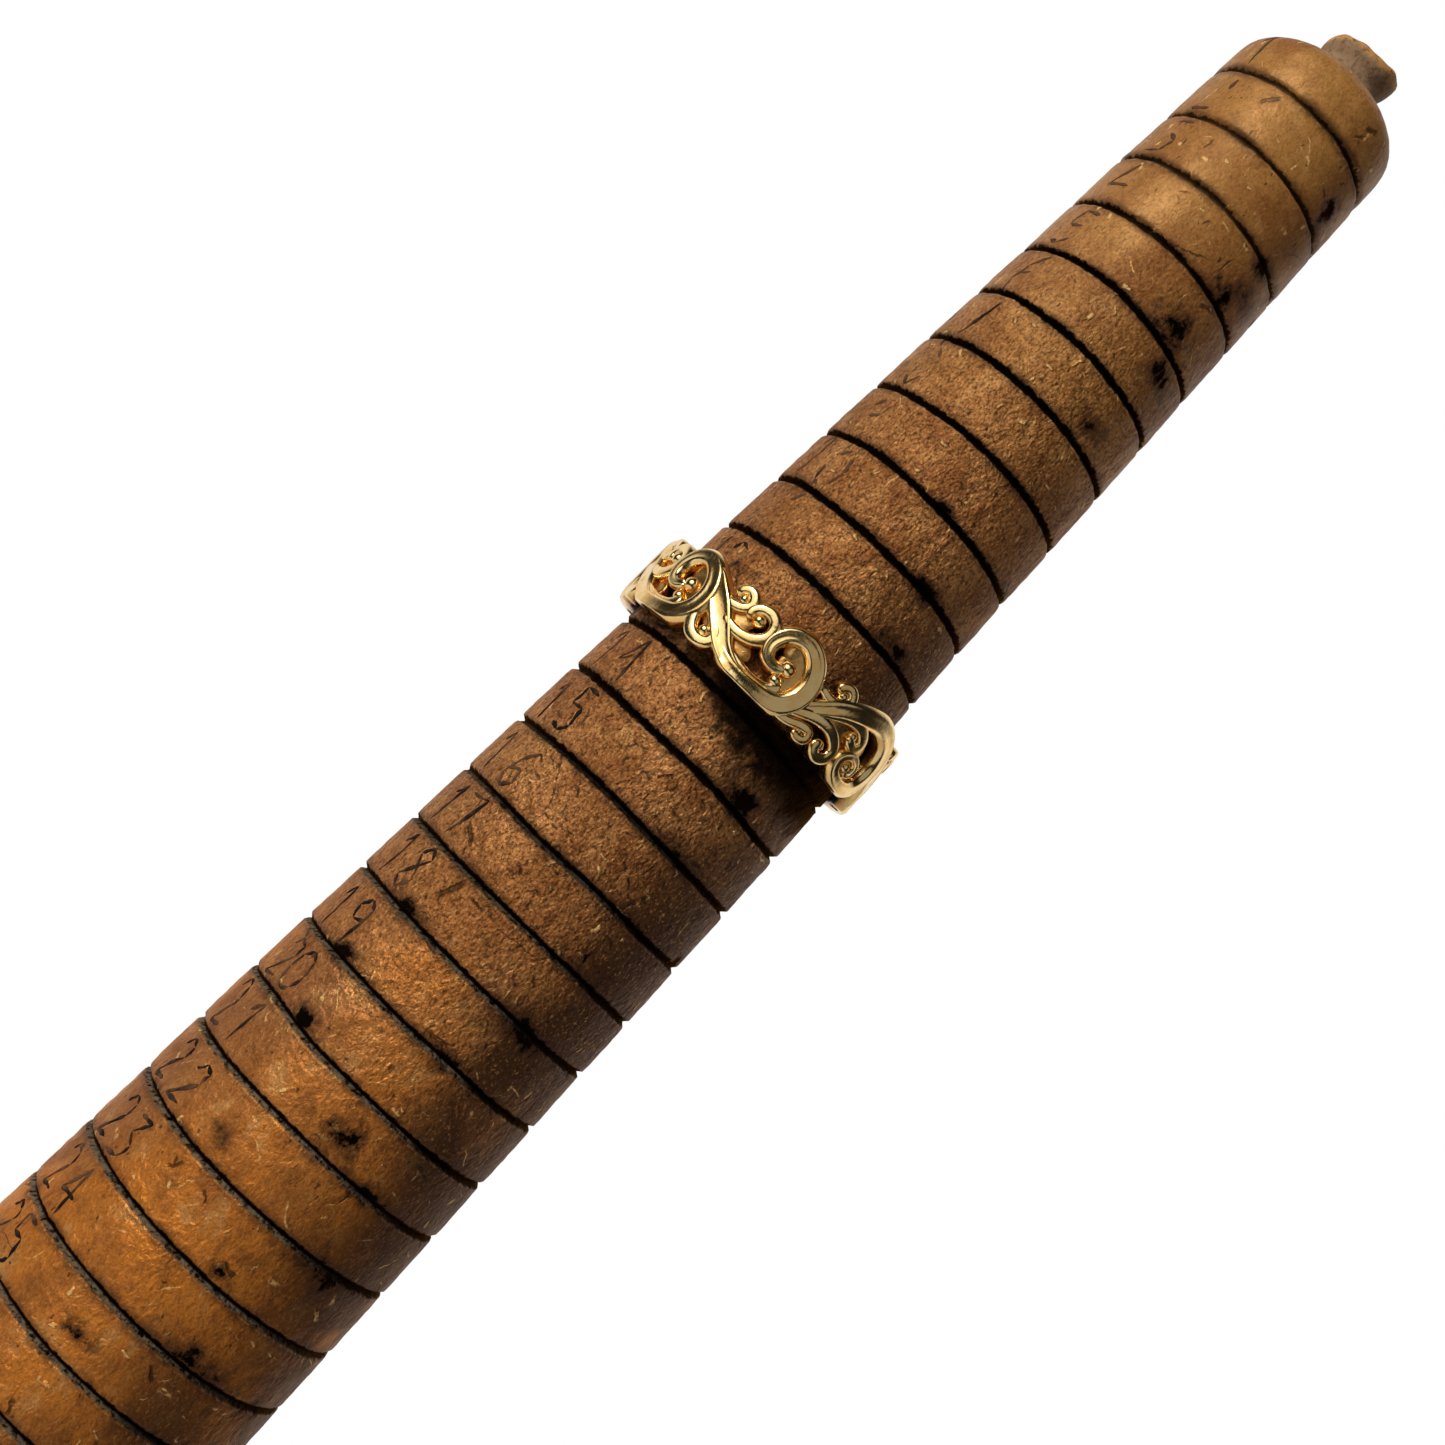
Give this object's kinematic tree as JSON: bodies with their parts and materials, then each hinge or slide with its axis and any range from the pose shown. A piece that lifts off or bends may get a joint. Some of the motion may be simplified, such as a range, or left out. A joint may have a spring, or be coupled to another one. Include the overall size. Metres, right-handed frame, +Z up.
{
  "type": "ring mandrel",
  "caption": "Tapered turned wooden ring stick with cut size lines, a small nose button and a flat-ended grip, with an openwork ring seated on it.",
  "frame": {"origin": "centre of the flat butt that the stick stands on", "axes": "+Z up along the stick's axis, from the butt to the tip; +X towards the first crest of the ring's scroll stem"},
  "size_m": [0.0272, 0.0272, 0.2268],
  "materials": {
    "varnished_hardwood": "old satin varnish over brown hardwood, worn, scratched and pitted, size lines filled with black soot",
    "gold": "polished yellow gold with brown tarnish in the recesses"
  },
  "bodies": {
    "stick": {"ring_stick": "varnished_hardwood"},
    "ring": {"scroll_ring": "gold"}
  },
  "joints": [
    {"name": "ring_slide", "type": "slide", "parent": "stick", "child": "ring", "axis": [0, 0, 1], "range_m": [0, 0.0645]}
  ]
}
